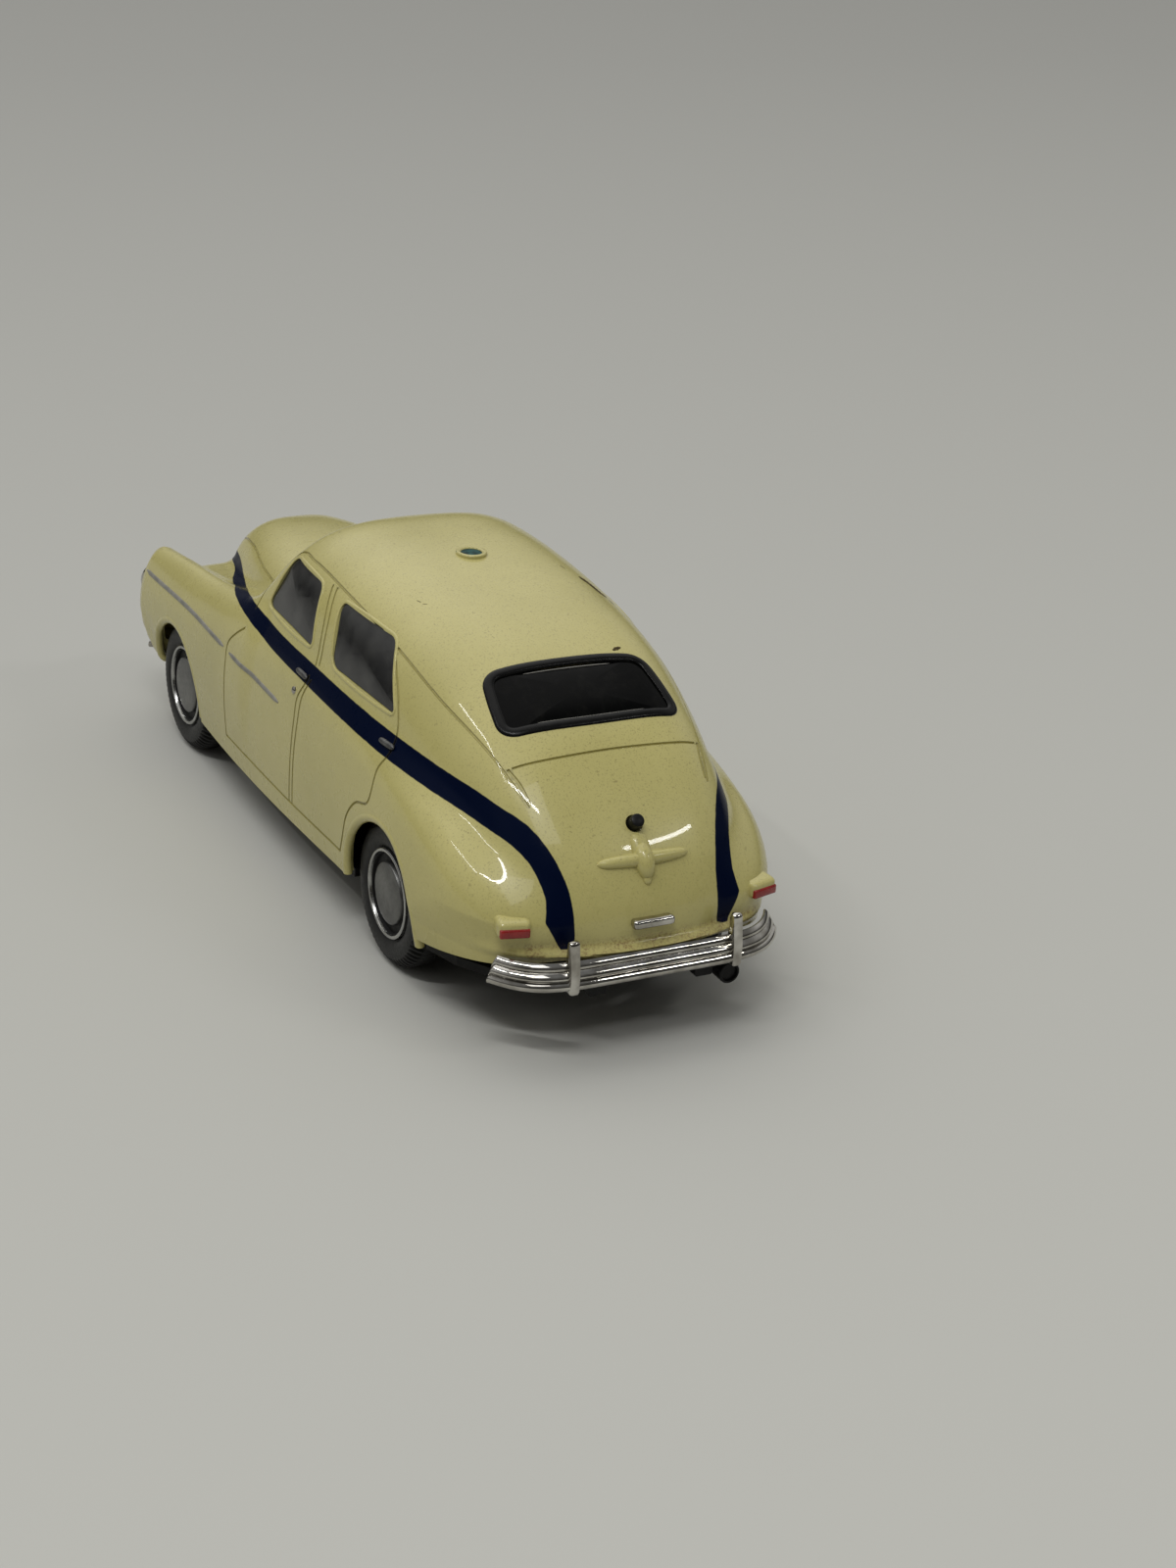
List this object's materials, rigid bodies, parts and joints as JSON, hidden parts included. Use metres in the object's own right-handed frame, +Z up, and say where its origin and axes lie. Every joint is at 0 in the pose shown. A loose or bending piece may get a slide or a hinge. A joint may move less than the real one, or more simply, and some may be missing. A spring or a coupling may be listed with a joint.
{
  "type": "die-cast toy car",
  "caption": "Small-scale die-cast toy saloon with a fastback body, glazed cabin, plated bumpers and wheelsets that roll on their axles.",
  "frame": {"origin": "on the floor, under the middle of the car's length and width, where the tyres stand", "axes": "+X forward to the front bumper, +Y to the car's left, +Z up"},
  "size_m": [0.1084, 0.0394, 0.0384],
  "materials": {
    "cream_paint": "gloss",
    "black_base": "matte",
    "grey_trim": "matte",
    "smoked_glazing": "gloss",
    "plating": "polished",
    "satin_metal": "satin",
    "black_plastic": "satin",
    "steel": "brushed",
    "clear_lens": "gloss",
    "red_lens": "gloss",
    "tyre_rubber": "matte"
  },
  "bodies": {
    "car": {"body_shell": "cream_paint", "chassis_base": "black_base", "interior_tub": "grey_trim", "dashboard": "grey_trim", "steering_wheel": "grey_trim", "window_insert": "smoked_glazing", "front_bumper": "plating", "rear_bumper": "plating", "grille": "plating", "plate_lamp": "satin_metal", "boot_peg": "black_plastic", "tail_pipe": "black_plastic", "chassis_screw_front": "steel", "chassis_screw_rear": "steel", "headlamp_bezel_left": "plating", "headlamp_bezel_right": "plating", "headlamp_lens_left": "clear_lens", "headlamp_lens_right": "clear_lens", "tail_lamp_lens_left": "red_lens", "tail_lamp_lens_right": "red_lens"},
    "front_wheelset": {"front_axle": "steel", "rim_front_left": "satin_metal", "tyre_front_left": "tyre_rubber", "rim_front_right": "satin_metal", "tyre_front_right": "tyre_rubber"},
    "rear_wheelset": {"rear_axle": "steel", "rim_rear_left": "satin_metal", "tyre_rear_left": "tyre_rubber", "rim_rear_right": "satin_metal", "tyre_rear_right": "tyre_rubber"}
  },
  "joints": [
    {"name": "front_axle_spin", "type": "hinge", "parent": "car", "child": "front_wheelset", "pos_m": [0.0364, 0, 0.00823], "axis": [0, 1, 0], "continuous": true},
    {"name": "rear_axle_spin", "type": "hinge", "parent": "car", "child": "rear_wheelset", "pos_m": [-0.0265, 0, 0.00823], "axis": [0, 1, 0], "continuous": true}
  ]
}
